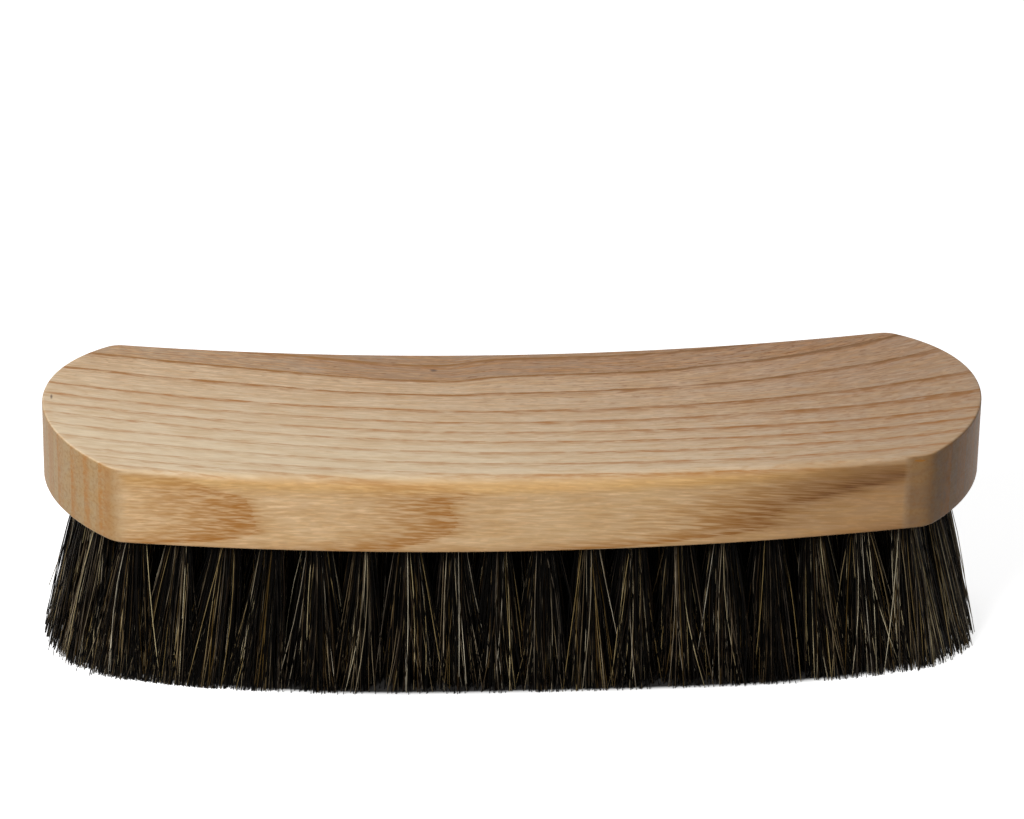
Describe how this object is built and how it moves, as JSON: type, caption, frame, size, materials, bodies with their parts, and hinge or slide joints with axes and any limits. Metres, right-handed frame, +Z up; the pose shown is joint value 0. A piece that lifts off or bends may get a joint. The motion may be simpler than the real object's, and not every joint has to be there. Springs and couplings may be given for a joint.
{
  "type": "bristle brush",
  "caption": "Hand brush for cloth, hats and shoes: a saddle-curved ash block whose convex underside carries staggered tufts of horsehair.",
  "frame": {"origin": "middle of the flat plane that the lowest bristle tips stand on, under the middle of the block", "axes": "+X along the brush's length, +Y across it towards its back, +Z up from the bristle tips to the block"},
  "size_m": [0.203, 0.0644, 0.0553],
  "materials": {
    "wood": "bare sanded ash, matt",
    "horsehair": "dark brown and black natural hair with a few lighter hairs, satin"
  },
  "bodies": {
    "root": {"block": "wood", "tufts_row_1_left": "horsehair", "tufts_row_1_centre": "horsehair", "tufts_row_1_right": "horsehair", "tufts_row_2_left": "horsehair", "tufts_row_2_centre": "horsehair", "tufts_row_2_right": "horsehair", "tufts_row_3_left": "horsehair", "tufts_row_3_centre": "horsehair", "tufts_row_3_right": "horsehair", "tufts_row_4_left": "horsehair", "tufts_row_4_centre": "horsehair", "tufts_row_4_right": "horsehair", "tufts_row_5_left": "horsehair", "tufts_row_5_centre": "horsehair", "tufts_row_5_right": "horsehair", "tufts_row_6_left": "horsehair", "tufts_row_6_centre": "horsehair", "tufts_row_6_right": "horsehair", "tufts_row_7_left": "horsehair", "tufts_row_7_centre": "horsehair", "tufts_row_7_right": "horsehair"}
  },
  "joints": []
}
